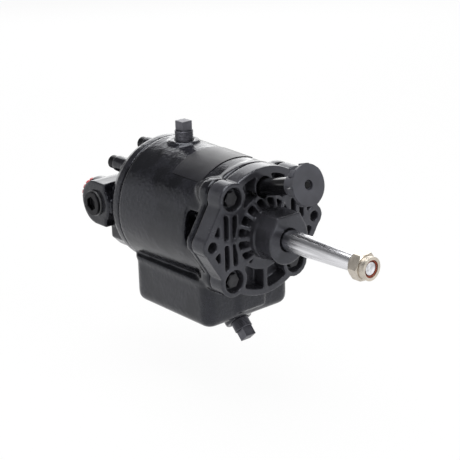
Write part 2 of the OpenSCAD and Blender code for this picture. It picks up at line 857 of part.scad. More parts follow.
// Flat cage between the two races
module ball_cage() {
    color("#a98b52") tilted() difference() {
        rod(bearing_mid - cage_t / 2, bearing_mid + cage_t / 2, race_out - 1.5 * free_gap);
        rod(bearing_mid - cage_t, bearing_mid + cage_t, race_in + free_gap);
        at_bearing_balls() rotate([-90, 0, 0])
            cylinder(h = 2 * cage_t, r = bearing_ball_d / 2 + face_gap, center = true);
    }
}

// Balls between the two races
module cage_balls() {
    color("#d4d6d9") tilted() at_bearing_balls() sphere(d = bearing_ball_d);
}

// Ball pistons, which lie on the turning race and slide in the rotor's bores
module ball_pistons() {
    color("#cfd2d5") tilted() for (i = [0:piston_count - 1])
        rotate([0, i * 360 / piston_count, 0]) translate([piston_circle_r, 0, 0]) sphere(d = piston_d);
}

// One ring of points around the wire of a spring wound about z
function wire_ring(r, wire_r, a, z) = [
    for (k = [0:5]) let (out = r + wire_r * cos(60 * k))
        [out * cos(a), out * sin(a), z + wire_r * sin(60 * k)]
];

// Coil spring along z, one unbroken wire with eight rings a curl
module coil(r, wire_d, len, curls) {
    steps = curls * 8;
    wire_r = wire_d / 2;
    rise = (len - wire_d) / steps;
    points = [for (i = [0:steps]) each wire_ring(r, wire_r, i * 45, wire_r + i * rise)];
    sides = [for (i = [0:steps - 1], k = [0:5]) let (a = 6 * i + k, b = 6 * i + (k + 1) % 6)
        each [[a, b, b + 6], [a, b + 6, a + 6]]];
    start = [for (k = [1:4]) [0, k + 1, k]];
    end = [for (k = [1:4]) [6 * steps, 6 * steps + k, 6 * steps + k + 1]];
    polyhedron(points = points, faces = concat(sides, start, end));
}

// Springs behind the ball pistons, each as long as its bore leaves it
module piston_springs() {
    depth = sqrt(piston_r * piston_r - piston_coil_r * piston_coil_r);
    color("#90949a") for (i = [0:piston_count - 1]) {
        a = i * 360 / piston_count;
        ball_y = piston_y + piston_circle_r * sin(a) * sin(swash_tilt);
        start = ball_y + depth + piston_wire_d / 2;
        rotate([0, a, 0]) translate([bore_circle_r, start, 0]) rotate([-90, 0, 0])
            coil(piston_coil_r, piston_wire_d, rotor_bore_end - start - set_gap, piston_curls);
    }
}

// Turning block with a bore for each ball piston
module pump_rotor() {
    color("#a7aaad") difference() {
        rod(rotor_front, rotor_end, rotor_r);
        rod(rotor_front - cut, rotor_end + cut, shaft_r + set_gap);
        rod(rotor_front - cut, rotor_front + race_t, race_in);
        rod_across(drive_pin_y, 2 * (piston_circle_r - piston_r), drive_pin_d / 2 + set_gap);
        for (i = [0:piston_count - 1]) rotate([0, i * 360 / piston_count, 0]) {
            rod(rotor_front - cut, rotor_bore_end, piston_r + piston_gap, bore_circle_r);
            rod(rotor_bore_end - cut, rotor_end + cut, port_slot_r, bore_circle_r);
        }
    }
}

// Cross pin between shaft and rotor
module drive_pin() {
    color("#85888c") rod_across(drive_pin_y, 2 * (piston_circle_r - piston_r - free_gap), drive_pin_d / 2);
}

// Places of the port plate's dowels
module at_dowels() {
    for (sz = [-1, 1]) translate([0, 0, sz * (inner_boss_r - dowel_d)]) children();
}

// Plate with two curved ports that the rotor slides on
module port_plate() {
    color("#9b9ea2") difference() {
        rod(plate_y, plate_end, inner_boss_r);
        rod(plate_y - cut, plate_end + cut, shaft_r + free_gap);
        for (side = [0, 180]) rotate([0, side, 0]) plate(plate_y - cut, plate_end + cut) intersection() {
            difference() {
                circle(bore_circle_r + port_slot_r);
                circle(bore_circle_r - port_slot_r);
            }
            polygon([[0, 0], [2 * rotor_r, -2 * rotor_r], [2 * rotor_r, 2 * rotor_r]]);
        }
        at_dowels() rod(plate_end - dowel_reach - set_gap, plate_end + cut, dowel_d / 2 + set_gap);
    }
}

// Dowels that stop the port plate from turning
module port_dowels() {
    color("#85888c") at_dowels() rod(plate_end - dowel_reach, plate_end + dowel_reach, dowel_d / 2);
}

// Plain bearing for the rear journal of the shaft
module rear_bush() {
    color("#b08d4f") difference() {
        rod(rear_bush_y, rear_bush_end, rear_bush_r);
        rod(rear_bush_y - cut, rear_bush_end + cut, shaft_r + run_gap);
    }
}

// Flat shape of the sump seen from above, grown by a distance; y is measured from the dash face
module sump_plan(grow) {
    c = sump_corner + min(grow, 0);
    w = sump_w / 2 + grow;
    for (sx = [-1, 1]) {
        translate([sx * (w - c), sump_y - grow + c]) circle(c);
        translate([sx * (w - c), sump_end + grow - c]) circle(c);
    }
    translate([-w, sump_y - grow + c]) square([2 * w, sump_len + 2 * grow - 2 * c]);
    translate([c - w, sump_y - grow]) square([2 * w - 2 * c, sump_len + 2 * grow]);
}

// Sump block from its rounded bottom up to the lip
module sump_block() {
    side_z = sump_round - sump_z;
    translate([0, 0, side_z]) linear_extrude(-lip_z - side_z) sump_plan(0);
    hull() for (a = [10:20:90])
        translate([0, 0, side_z - sump_round * cos(a)])
            linear_extrude(cut) sump_plan(sump_round * (sin(a) - 1));
}

// Outside of the body without its hollows
module body_outside() {
    plate(body_y, body_y + flange_t) outline(0);
    cone(body_y, body_end, body_r_front, body_r_rear);
    at_bolts() {
        rod(body_y, body_y + body_boss_len, boss_r - boss_step);
        cone(body_y + body_boss_len, body_y + body_boss_len + boss_r, boss_r - boss_step, boss_r / 2);
    }
    translate([0, level_plug_y, 0]) cylinder(h = plug_seat_z, r = plug_seat_r);
    sump_block();
    translate([0, 0, -lip_z - lip_t]) linear_extrude(lip_t) sump_plan(lip_out);
    translate([-bulge_w / 2, body_y + bulge_front, sump_round - sump_z])
        cube([bulge_w, sump_front + sump_corner, sump_z - lip_z - sump_round]);
    on_drain() translate([0, 0, -2 * drain_boss_r]) cylinder(h = 2 * drain_boss_r, r = drain_boss_r);
}

// Space inside the body
module body_inside() {
    cone(body_y - cut, body_end + cut, body_r(body_y - cut) - body_wall, body_r(body_end + cut) - body_wall);
    translate([0, 0, body_wall - sump_z])
        linear_extrude(sump_z - lip_z - 2 * body_wall) sump_plan(-body_wall);
}

// Cast body that holds the pump and the oil
module body_casting() {
    color("#26272b") difference() {
        union() {
            difference() {
                body_outside();
                body_inside();
            }
            intersection() {
                cone(body_y, body_end, body_r_front - body_wall / 2, body_r_rear - body_wall / 2);
                union() {
                    for (sx = [-1, 1]) translate([sx * ear_span / 2, 0, hollow_z])
                        rod(body_y, hollow_end + body_wall, hollow_r + body_wall);
                    at_bolts() rod(body_y, recess_depth + bolt_len + body_wall, boss_r);
                    at_rear_screws() rod(body_end - rear_screw_grip - body_wall, body_end, rear_boss_r);
                    translate([0, level_plug_y, plug_seat_z - plug_depth - free_gap])
                        cylinder(h = plug_depth, r = plug_seat_r);
                }
            }
        }
        for (sx = [-1, 1]) {
            rod(body_y + flange_t, hollow_end, hollow_r, sx * ear_span / 2, hollow_z);
            rod(body_y - cut, body_y + flange_t + cut, ear_hole_d / 2, sx * ear_span / 2);
        }
        at_bolts() rod(body_y - cut, recess_depth + bolt_len + free_gap, bolt_d / 2 + screw_gap);
        at_rear_screws()
            rod(body_end - rear_screw_grip - free_gap, body_end + cut, rear_screw_d / 2 + screw_gap);
        translate([0, level_plug_y, plug_seat_z - 2 * plug_depth])
            cylinder(h = 2 * plug_depth + cut, d = plug_d + 2 * set_gap);
        on_drain() {
            translate([0, 0, -plug_depth - free_gap]) cylinder(h = 2 * plug_depth, d = plug_d + 2 * set_gap);
            translate([0, 0, -2 * drain_boss_r]) cylinder(h = 2 * drain_boss_r, r = drain_hole_r);
        }
    }
}

// Bare plate on the body's left shoulder
module label_plate() {
    y0 = body_y + label_front;
    y1 = y0 + label_len;
    r0 = body_r(y0) + label_glue;
    r1 = body_r(y1) + label_glue;
    color("#4c4f54") rotate([-90, 0, 0]) rotate([0, 0, -label_low])
        rotate_extrude(angle = label_sweep)
            polygon([[r0, y0], [r0 + label_t, y0], [r1 + label_t, y1], [r1, y1]]);
}

// Pipe plug with a square head, along z with its seat at 0
module pipe_plug() {
    top = plug_show + plug_square_h;
    crown_r = plug_square / sqrt(2) - plug_corner;
    difference() {
        union() {
            translate([0, 0, -plug_depth]) cylinder(h = plug_depth + plug_show, d = plug_d);
            intersection() {
                translate([-plug_square / 2, -plug_square / 2, 0]) cube([plug_square, plug_square, top]);
                cylinder(h = top, r1 = crown_r + top, r2 = crown_r);
            }
        }
        translate([0, 0, -plug_depth - cut]) cylinder(h = plug_depth / 2, d = plug_d / 2);
    }
}

// Plug on top of the body, for checking the oil
module level_plug() {
    color("#34353a") translate([0, level_plug_y, plug_seat_z]) pipe_plug();
}

// Plug in the sump's lower front edge
module drain_plug() {
    color("#3a3b40") on_drain() pipe_plug();
}

// Glossy neck through which oil is filled
module fill_neck() {
    color("#17181a") on_neck() difference() {
        union() {
            cylinder(h = neck_len, r = neck_r);
            cylinder(h = neck_base_len, r = neck_base_r);
        }
        translate([0, 0, -cut]) cylinder(h = neck_len + 2 * cut, r = neck_bore_r);
        translate([0, 0, neck_base_len / 2 - neck_ring_w / 2 - set_gap]) rotate_extrude()
            translate([neck_base_r - neck_ring_depth, 0])
                square([neck_ring_depth + cut, neck_ring_w + 2 * set_gap]);
    }
}

// Ring in the groove of the neck's base
module neck_seal() {
    color("#141414") on_neck() translate([0, 0, neck_base_len / 2 - neck_ring_w / 2]) difference() {
        cylinder(h = neck_ring_w, r = neck_base_r);
        translate([0, 0, -cut])
            cylinder(h = neck_ring_w + 2 * cut, r = neck_base_r - neck_ring_depth + set_gap);
    }
}

// Ring between the neck's end and the cap
module cap_seal() {
    color("#161616") on_neck() translate([0, 0, neck_len]) difference() {
        cylinder(h = cap_seal_t, r = neck_r);
        translate([0, 0, -cut]) cylinder(h = cap_seal_t + 2 * cut, r = neck_bore_r);
    }
}

// Screw cap with a sleeve over the neck and grip lobes around its head
module fill_cap() {
    color("#37383c") on_neck() translate([0, 0, cap_y]) difference() {
        union() {
            cylinder(h = cap_sleeve_len + cap_t - cap_face_t + cut, r = cap_sleeve_r);
            translate([0, 0, cap_sleeve_len + cap_t - cap_face_t]) cylinder(h = cap_face_t, r = cap_r);
            translate([0, 0, cap_sleeve_len]) linear_extrude(cap_t - cap_lobe_out) intersection() {
                circle(cap_r + cap_lobe_out);
                for (i = [0:cap_lobes - 1]) rotate(i * 360 / cap_lobes + cap_turn)
                    translate([cap_sleeve_r - cut, -cap_lobe_w / 2]) square([cap_r, cap_lobe_w]);
            }
        }
        translate([0, 0, -cut]) cylinder(h = cap_sleeve_len + cut, r = neck_r + cap_gap);
        translate([0, 0, cap_sleeve_len + cap_t - vent_depth]) cylinder(h = vent_depth + cut, d = vent_d);
        cylinder(h = cap_sleeve_len + cap_t, r = vent_d / 5);
    }
}

// Breather core in the middle of the cap
module cap_vent() {
    color("#232428") on_neck() translate([0, 0, cap_y + cap_sleeve_len + cap_t - vent_depth]) {
        cylinder(h = vent_depth / 2, r = vent_d / 3);
        translate([0, 0, -cap_t / 3]) cylinder(h = cap_t / 3 + vent_depth / 2, r = vent_d / 5 - set_gap);
    }
}

// Flat shape of the valve housing seen from its end: y along the shaft axis, z up
module valve_end() {
    translate([valve_y, 0]) circle(valve_r);
    translate([valve_y - valve_flat, face_tuck - valve_r]) square([valve_flat, 2 * (valve_r - face_tuck)]);
}

// Rear cover with a rim, the lock valve's housing, six posts and two hose ports
module rear_cover() {
    foot = [[-foot_x, foot_high], [foot_x, foot_high], [foot_x, foot_corner - foot_low],
        [foot_x - foot_corner, -foot_low], [foot_corner - foot_x, -foot_low],
        [-foot_x, foot_corner - foot_low]];
    passage_x = (spool_half + seat_x) / 2;
    rim_end = rear_flange_end + rear_rim_len;
    color("#2a2b2f") difference() {
        union() {
            turned() polygon([[0, rear_y], [rear_r, rear_y], [rear_r, rear_flange_end],
                [rear_r - rear_rim_in, rim_end], [rear_r - rear_rim_w, rim_end],
                [rear_r - rear_rim_w, rear_flange_end], [0, rear_flange_end]]);
            rod(plate_end, rear_y + cut, inner_boss_r);
            plate(rear_flange_end - cut, valve_y - valve_flat / 2) polygon(foot);
            translate([-valve_x, 0, 0]) rotate([90, 0, 90]) linear_extrude(2 * valve_x) valve_end();
            at_rear_screws() cone(rear_flange_end - cut, post_end, post_r, post_tip_r);
            for (sx = [-1, 1]) rod(valve_y, valve_y + port_reach, port_boss_r, sx * port_x);
        }
        rod_across_valve(bore_r);
        for (sx = [-1, 1]) {
            rod(valve_y, valve_y + port_reach + cut, port_bore_r, sx * port_x);
            translate([sx * bore_circle_r, plate_end - cut, 0])
                rotate([-90, 0, sx * atan2(bore_circle_r - passage_x, valve_y - plate_end)])
                    cylinder(h = valve_y - plate_end, r = (seat_x - spool_half) / 2);
        }
        rod(plate_end - cut, rear_bush_end + cut, rear_bush_r + set_gap);
        rod(rear_bush_end, shaft_well_end, shaft_well_r);
        at_dowels() rod(plate_end - cut, plate_end + dowel_reach + set_gap, dowel_d / 2 + set_gap);
        at_rear_screws() rod(rear_y - cut, post_end + cut, rear_screw_d / 2 + screw_gap);
    }
}

// Round bar right through the valve housing
module rod_across_valve(r) {
    translate([-valve_x - cut, valve_y, 0]) rotate([0, 90, 0]) cylinder(h = 2 * (valve_x + cut), r = r);
}

// Flat gasket between body and rear cover
module rear_gasket() {
    color("#1b1b1c") plate(body_end, rear_y) difference() {
        circle(rear_r - seam_set);
        circle(body_r_rear - body_wall);
    }
}

// Six socket screws through the posts
module rear_screws() {
    color("#9a9da1") at_rear_screws() {
        difference() {
            rod(post_end, post_end + rear_head_h, rear_head_d / 2);
            plate(post_end + rear_head_h / 2, post_end + rear_head_h + cut) hex(rear_head_d / 2);
        }
        rod(body_end - rear_screw_grip, post_end, rear_screw_d / 2);
    }
}

// Spool that opens the far check valve
module lock_spool() {
    color("#b5b8bb") for (side = [-1, 1]) difference() {
        cross_rod(side, 0, spool_half, bore_r - run_gap);
        cross_rod(side, spool_half / 3, spool_half / 2, bore_r + cut);
    }
    color("#b5b8bb") translate([-spool_half, valve_y, 0]) rotate([0, 90, 0])
        cylinder(h = 2 * spool_half, r = bore_r - free_gap);
}

// Rings that the check valves close against
module check_seats() {
    color("#a98b52") for (side = [-1, 1]) difference() {
        cross_rod(side, seat_x, seat_x + seat_t, bore_r - set_gap);
        cross_rod(side, seat_x - cut, seat_x + seat_t + cut, seat_hole_r);
    }
}

// Check valve with a nose toward the spool and a stem in its spring
module check_valve(side) {
    color("#c0c2c5") {
        cross_rod(side, check_x, check_x + check_t, check_r);
        cross_rod(side, check_nose_x, check_x + cut, seat_hole_r / 2);
        cross_rod(side, check_x + check_t - cut, check_x + check_t + check_stem_len, check_stem_r);
    }
}

// Left check valve
module left_check() {
    check_valve(-1);
}

// Right check valve
module right_check() {
    check_valve(1);
}

// Spring between a check valve and its end plug
module check_spring(side) {
    start = check_x + check_t + set_gap;
    color("#90949a") translate([side * start, valve_y, 0]) rotate([0, side * 90, 0])
        coil(check_stem_r + check_wire_d, check_wire_d, end_plug_x - start - set_gap, check_curls);
}

// Left check spring
module left_check_spring() {
    check_spring(-1);
}

// Right check spring
module right_check_spring() {
    check_spring(1);
}

// Socket plugs that close both ends of the valve bore
module valve_end_plugs() {
    head_x = valve_x + plug_washer_t;
    color("#5d6065") for (side = [-1, 1]) difference() {
        union() {
            cross_rod(side, end_plug_x, head_x + cut, bore_r - set_gap);
            cross_rod(side, head_x, head_x + end_plug_head_h, end_plug_head_r);
        }
        translate([side * (head_x + end_plug_head_h + cut), valve_y, 0]) rotate([0, -side * 90, 0])
            linear_extrude(2 * end_plug_head_h) hex(end_plug_socket);
    }
}

// Sealing washers under the end plugs
module plug_washers() {
    color("#86898d") for (side = [-1, 1]) difference() {
        cross_rod(side, valve_x, valve_x + plug_washer_t, end_plug_head_r + 1);
        cross_rod(side, valve_x - cut, valve_x + plug_washer_t + cut, bore_r + set_gap);
    }
}

// Plastic cap in a hose port, with teeth around its head
module port_cap(side) {
    y0 = valve_y + port_reach;
    color("#c4262e") translate([side * port_x, 0, 0]) {
        plate(y0, y0 + port_cap_t) difference() {
            circle(port_cap_r);
            for (i = [0:port_cap_teeth - 1]) rotate(i * 360 / port_cap_teeth)
                translate([port_cap_r, 0]) circle(port_cap_r * 0.07, $fn = 16);
        }
        rod(y0 - port_cap_stem, y0 + cut, port_bore_r - run_gap);
    }
}

// Left transport cap
module left_port_cap() {
    port_cap(-1);
}

// Right transport cap
module right_port_cap() {
    port_cap(1);
}

front_cover();
front_gasket();
front_bolts();
shaft_seal();
front_bush();
thrust_washer();
steering_shaft();
wheel_key();
wheel_nut();
nut_insert();
shaft_snap_ring();
swash_plate();
fixed_race();
ball_cage();
cage_balls();
turning_race();
ball_pistons();
piston_springs();
pump_rotor();
drive_pin();
port_plate();
port_dowels();
rear_bush();
body_casting();
label_plate();
level_plug();
drain_plug();
fill_neck();
neck_seal();
cap_seal();
fill_cap();
cap_vent();
rear_cover();
rear_gasket();
rear_screws();
lock_spool();
check_seats();
left_check();
right_check();
left_check_spring();
right_check_spring();
valve_end_plugs();
plug_washers();
left_port_cap();
right_port_cap();
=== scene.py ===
import json
import math

import bmesh
import bpy
from bpy.props import FloatProperty, FloatVectorProperty, PointerProperty
from bpy.types import Operator, Panel, PropertyGroup
from mathutils import Matrix, Vector


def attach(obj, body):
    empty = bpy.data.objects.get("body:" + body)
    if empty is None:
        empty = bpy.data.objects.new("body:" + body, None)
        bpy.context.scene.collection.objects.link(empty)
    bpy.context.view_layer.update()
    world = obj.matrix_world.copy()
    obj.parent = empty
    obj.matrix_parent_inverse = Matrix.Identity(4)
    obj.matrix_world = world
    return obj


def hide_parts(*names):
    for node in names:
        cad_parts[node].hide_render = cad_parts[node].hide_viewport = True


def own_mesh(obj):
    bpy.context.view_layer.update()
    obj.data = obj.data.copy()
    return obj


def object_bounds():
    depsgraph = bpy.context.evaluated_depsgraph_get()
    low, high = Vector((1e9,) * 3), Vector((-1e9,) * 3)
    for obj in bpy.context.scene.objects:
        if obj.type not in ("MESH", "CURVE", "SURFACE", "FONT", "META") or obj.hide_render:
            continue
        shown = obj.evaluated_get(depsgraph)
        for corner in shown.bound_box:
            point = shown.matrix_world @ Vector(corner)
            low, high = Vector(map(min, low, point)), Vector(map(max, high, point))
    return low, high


bl_info = {
    "name": "Boat steering helm",
    "version": (1, 0, 0),
    "blender": (4, 5, 0),
    "location": "3D View > Sidebar > Helm",
    "description": "Dresses the solids of a hydraulic boat steering helm in paint, steel and plastic",
    "category": "Object",
}

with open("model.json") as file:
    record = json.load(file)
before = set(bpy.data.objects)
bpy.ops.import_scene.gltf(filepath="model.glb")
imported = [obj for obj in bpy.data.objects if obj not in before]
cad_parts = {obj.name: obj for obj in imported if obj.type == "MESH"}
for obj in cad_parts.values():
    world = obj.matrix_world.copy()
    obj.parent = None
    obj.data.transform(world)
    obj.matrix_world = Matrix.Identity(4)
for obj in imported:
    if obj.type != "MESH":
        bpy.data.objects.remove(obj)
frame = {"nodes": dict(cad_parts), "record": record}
CAD_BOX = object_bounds()
MM = 0.001
PHOTO_PX = 460
SIDES = ("left", "right")

# Angles between faces: over which an edge is rounded, is a plate's corner, or is shaded as a crease
SHARP_EDGE = math.radians(28)
CORNER_EDGE = 1.0
CREASE = math.radians(40)

# Radius in mm of the rounded edges of each machined or moulded node
EDGES = {
    "wheel_nut": 0.35, "front_bolts": 0.35, "rear_screws": 0.4, "fill_neck": 0.5, "fill_cap": 0.7,
    "cap_vent": 0.4, "valve_end_plugs": 0.5, "plug_washers": 0.3, "left_port_cap": 0.4, "right_port_cap": 0.4,
}

# Name, place, target, width, height and watts of each lamp
LAMPS = (
    ("top_softbox", (-0.1, 0.2, 1.3), (0, 0.05, 0), 1.2, 1.0, 18),
    ("left_softbox", (-1.1, 1.2, 0.55), (0, 0.08, 0), 0.7, 0.6, 0.7),
    ("back_softbox", (1.15, 1.55, 0.75), (0, 0.1, 0), 1.6, 1.4, 16),
    ("front_softbox", (0.2, -1.4, 0.8), (0, 0, 0), 0.9, 0.7, 11),
)


# Settings that a user would change

def size(label, text, default):
    """Property for a length in metres."""
    return FloatProperty(name=label, description=text, default=default, unit="LENGTH", precision=5)


def colour(label, text, default):
    """Property for a linear colour."""
    return FloatVectorProperty(name=label, description=text, default=default, subtype="COLOR", min=0, max=1)


def point(label, text, default):
    """Property for a place given in mm."""
    return FloatVectorProperty(name=label, description=text, default=[value * MM for value in default],
                               subtype="TRANSLATION", unit="LENGTH")


def number(label, text, default):
    """Property for a plain number."""
    return FloatProperty(name=label, description=text, default=default)


def share(label, text, default):
    """Property for a number from 0 to 1."""
    return FloatProperty(name=label, description=text, default=default, min=0, max=1, subtype="FACTOR")


def angle(label, text, degrees):
    """Property for an angle."""
    return FloatProperty(name=label, description=text, default=math.radians(degrees), subtype="ANGLE")


class HelmPaint(PropertyGroup):
    """Paint and edges of the castings"""
    body: colour("Body", "Paint of the body and the rear cover", (0.0048, 0.0048, 0.0062))
    cover: colour("Front cover", "Paint of the front cover", (0.031, 0.031, 0.036))
    gloss: share("Paint roughness", "Roughness of the body's paint", 0.15)
    cover_gloss: share("Cover roughness", "Roughness of the front cover's paint", 0.21)
    body_grain: size("Body fineness", "Mesh size of the body, which rounds its edges", 1.25 * MM)
    cover_grain: size("Cover fineness", "Mesh size of the front cover", 0.85 * MM)
    rear_grain: size("Rear fineness", "Mesh size of the rear cover", 1.1 * MM)
    peel: size("Paint ripple", "Height of the ripple in the body's paint", 0.2 * MM)
    cover_peel: size("Cover ripple", "Height of the ripple in the front cover's paint", 0.04 * MM)
    # The paler crinkles are a painted sheen on the crests of the paint's ripples
    crest_sheen: number("Paint mottle", "How much paler the crinkles in the body's paint are", 1.8)
    cover_crest_sheen: number("Cover mottle", "How much paler the crinkles in the front cover's paint are", 0.3)


class HelmMetal(PropertyGroup):
    """Steel, zinc and bronze"""
    shaft: colour("Shaft", "Polished steel of the shaft", (0.86, 0.86, 0.89))
    nut: colour("Nut", "Yellow zinc of the wheel nut", (0.57, 0.52, 0.45))
    zinc: colour("Bolts", "Dark zinc of the cover bolts", (0.05, 0.05, 0.053))
    dark: colour("Dark steel", "Black oxide of the screws", (0.022, 0.022, 0.024))
    plug: colour("Plugs", "Grey oxide of the pipe plugs", (0.11, 0.11, 0.125))
    washer: colour("Washers", "Dull zinc under the valve's end plugs", (0.16, 0.16, 0.165))
    steel: colour("Ground steel", "Ground steel inside the pump", (0.52, 0.53, 0.54))
    bronze: colour("Bronze", "Bearing bronze", (0.48, 0.33, 0.13))
    thread_pitch: size("Thread pitch", "Distance between the threads of plugs and shaft", 1.4 * MM)
    thread_depth: size("Thread depth", "Depth of those threads", 0.5 * MM)


class HelmShaft(PropertyGroup):
    """Outline of the steering shaft, with places along its axis from the dash face"""
    tip: size("Tip", "Place of the threaded end", -126.2 * MM)
    tip_r: size("Tip radius", "Radius of the end's flat", 5.5 * MM)
    thread_from: size("Thread start", "Place of the first thread", -125.2 * MM)
    thread_to: size("Thread end", "Place of the last thread", -108.4 * MM)
    thread_r: size("Thread radius", "Outer radius of the thread", 6.5 * MM)
    neck_r: size("Neck radius", "Radius between thread and taper", 6.0 * MM)
    taper_from: size("Taper start", "Place of the taper's thin end", -108.0 * MM)
    taper_r: size("Taper radius", "Radius of the taper's thin end", 7.4 * MM)
    taper_edge: size("Taper edge", "Chamfer of the taper's thin end", 0.3 * MM)
    taper_to: size("Taper end", "Place of the taper's thick end", -57.0 * MM)
    bar_r: size("Bar radius", "Radius of the bar", 9.525 * MM)
    collar_from: size("Collar start", "Place of the collar's front", 2.65 * MM)
    collar_to: size("Collar end", "Place of the collar's back", 7.65 * MM)
    collar_r: size("Collar radius", "Radius of the collar", 14.5 * MM)
    groove_from: size("Groove start", "Front of the snap ring's groove", 121.35 * MM)
    groove_to: size("Groove end", "Back of the snap ring's groove", 122.55 * MM)
    groove_r: size("Groove radius", "Radius in the snap ring's groove", 8.525 * MM)
    end: size("End", "Place of the inner end", 125.05 * MM)
    end_edge: size("End edge", "Chamfer of the inner end", 1.0 * MM)


class HelmPlugs(PropertyGroup):
    """Square-head pipe plugs"""
    radius: size("Radius", "Radius of the threaded part", 8.55 * MM)
    depth: size("Depth", "Length of the thread below the seat", 9.0 * MM)
    show: size("Rise", "Length of the round part above the seat", 8.5 * MM)
    head: size("Head", "Height of the square head", 9.0 * MM)
    flats: size("Flats", "Width of the square head", 11.1 * MM)
    sink: size("Sink", "How far the head reaches into the round part", 1.0 * MM)
    edge: size("Edge", "Radius of the head's edges", 0.4 * MM)
    rim: size("Rim", "Chamfer of the round part", 0.3 * MM)
    top_seat: point("Level plug", "Seat of the level plug", (0, 110, 63.172))
    drain_seat: point("Drain plug", "Seat of the drain plug", (0, 37.5, -97))
    drain_tilt: angle("Drain tilt", "Lean of the drain plug from upright", 136)


class HelmPlastic(PropertyGroup):
    """Plastic and rubber"""
    cap: colour("Cap", "Satin plastic of the filler cap", (0.056, 0.057, 0.068))
    neck: colour("Neck", "Glossy plastic of the filler neck", (0.006, 0.006, 0.007))
    insert: colour("Insert", "Nylon of the nut's insert", (0.30, 0.06, 0.03))
    port: colour("Port caps", "Red plastic of the transport caps", (0.50, 0.012, 0.02))
    rubber: colour("Rubber", "Gaskets and seals", (0.012, 0.012, 0.012))
    label: colour("Label", "Bare label plate", (0.009, 0.009, 0.0125))
    label_corner: size("Label corners", "Radius of the label's corners", 3 * MM)
    label_t: size("Label thickness", "Thickness of the label plate", 0.5 * MM)


class HelmStage(PropertyGroup):
    """Camera, lamps and floor"""
    azimuth: angle("Azimuth", "Turn of the camera from straight ahead", -41.94)
    elevation: angle("Elevation", "Height of the camera over the shaft axis", 19.56)
    roll: angle("Roll", "Lean of the camera", 0.94)
    distance: size("Distance", "Distance of the camera from the dash face", 1.12362)
    focal_px: number("Focal length", "In pixels of the picture", 1279.31)
    centre_px: FloatVectorProperty(name="Place of the hub", size=2, default=(265.3, 231.52),
                                   description="Where the dash face's middle lies in the picture")
    floor_drop: size("Floor drop", "Gap between the object and the floor", 0.05)
    floor: colour("Floor", "Paper of the floor", (0.9, 0.9, 0.9))
    bleach: share("Bleach", "How white the floor looks to the camera", 0.95)
    surround: colour("Surround", "Light of the room around the stage", (0.20, 0.20, 0.205))


# Shader maths

class Wire:
    """A socket that can be added to or multiplied by a socket or a number."""

    def __init__(self, finish, socket):
        self.finish = finish
        self.socket = socket

    def _with(self, operation, other):
        return self.finish.node("Math", {"operation": operation}, (self, other))

    def __add__(self, other):
        return self._with("ADD", other)

    def __mul__(self, other):
        return self._with("MULTIPLY", other)


class Finish:
    """A material or world and the nodes that make it."""

    def __init__(self, name, owner=None):
        self.material = owner or bpy.data.materials.new(name)
        self.material.use_nodes = True
        self.tree = self.material.node_tree
        self.tree.nodes.clear()

    def seen(self):
        """1 where the background is seen straight, in a reflection or through something."""
        path = self.tree.nodes.new("ShaderNodeLightPath").outputs
        kinds = ("Camera", "Glossy", "Transmission")
        straight, glossy, through = (Wire(self, path["Is %s Ray" % kind]) for kind in kinds)
        return self.node("Math", {"operation": "MINIMUM"}, (straight + glossy + through, 1.0))

    def node(self, kind, settings=None, inputs=(), output=0):
        """Adds a node with its settings and the values or links of its sockets, by place or by name."""
        made = self.tree.nodes.new("ShaderNode" + kind)
        for key, value in (settings or {}).items():
            setattr(made, key, value)
        for key, value in inputs.items() if isinstance(inputs, dict) else enumerate(inputs):
            if isinstance(value, Wire):
                self.tree.links.new(value.socket, made.inputs[key])
            elif value is not None:
                made.inputs[key].default_value = value
        return Wire(self, made.outputs[output]) if made.outputs else None

    def place(self, stretch):
        """Object coordinates, stretched along the axes."""
        spot = self.node("TexCoord", output="Object")
        return self.node("Mapping", inputs={"Vector": spot, "Scale": stretch})

    def cloud(self, scale, detail, stretch=(1, 1, 1)):
        """Soft noise from 0 to 1, with a number of waves in a metre."""
        return self.node("TexNoise", inputs={"Vector": self.place(stretch), "Scale": scale, "Detail": detail})

    def ramp(self, value, low, high):
        """Value spread from 0 to 1 between two limits."""
        return self.node("MapRange", {"clamp": True}, {"Value": value, "From Min": low, "From Max": high})

    def mix(self, factor, first, second):
        """Blend of two colours."""
        return self.node("Mix", {"data_type": "RGBA"},
                         {0: factor, 6: (*first, 1) if isinstance(first, tuple) else first,
                          7: (*second, 1) if isinstance(second, tuple) else second}, output=2)

    def bump(self, height, depth):
        """Normal for a height from 0 to 1 and a depth in metres."""
        return self.node("Bump", inputs={"Height": height, "Distance": depth, "Strength": 1.0})

    def surface(self, **sockets):
        """Closes the material with a Principled shader."""
        named = {key.replace("_", " "): value for key, value in sockets.items()}
        shader = self.node("BsdfPrincipled", inputs=named)
        self.node("OutputMaterial", inputs={"Surface": shader})
        return self.material


def tint(shade, factor):
    """A colour made lighter or darker."""
    return tuple(min(1.0, channel * factor) for channel in shade)


def cast_paint(name, shade, roughness, ripple, crest_sheen):
    """Black paint over a casting: ripples, dust-fine grain and slight changes of gloss, with a painted sheen
    that makes the crinkles lighter where the ripples stand high.
    """
    made = Finish(name)
    ripples = made.cloud(scale=330, detail=3)
    waves = made.cloud(scale=45, detail=2)
    grain = made.cloud(scale=750, detail=2)
    patches = made.cloud(scale=26, detail=2)
    rough_cast = made.ramp(patches, 0.38, 0.55) * 0.85 + 0.15
    # Painted sheen: colour is made paler where the ripples stand high, in place of the glints they would
    # catch
    crinkle_sheen = made.ramp(ripples * rough_cast + grain * 0.35, 0.42, 0.75)
    smooth = made.mix(made.ramp(waves, 0.35, 0.65), tint(shade, 0.8), tint(shade, 1.25))
    return made.surface(
        Base_Color=made.mix(crinkle_sheen, smooth, tint(shade, 1 + crest_sheen)),
        Roughness=made.ramp(waves, 0.3, 0.7) * 0.1 + (grain * 0.08 + (roughness - 0.08)),
        Specular_IOR_Level=0.45,
        Specular_Tint=(0.88, 0.91, 1.0, 1.0),
        Normal=made.bump(ripples * rough_cast * 2.2 + waves * 0.5 + grain * 0.04, ripple))


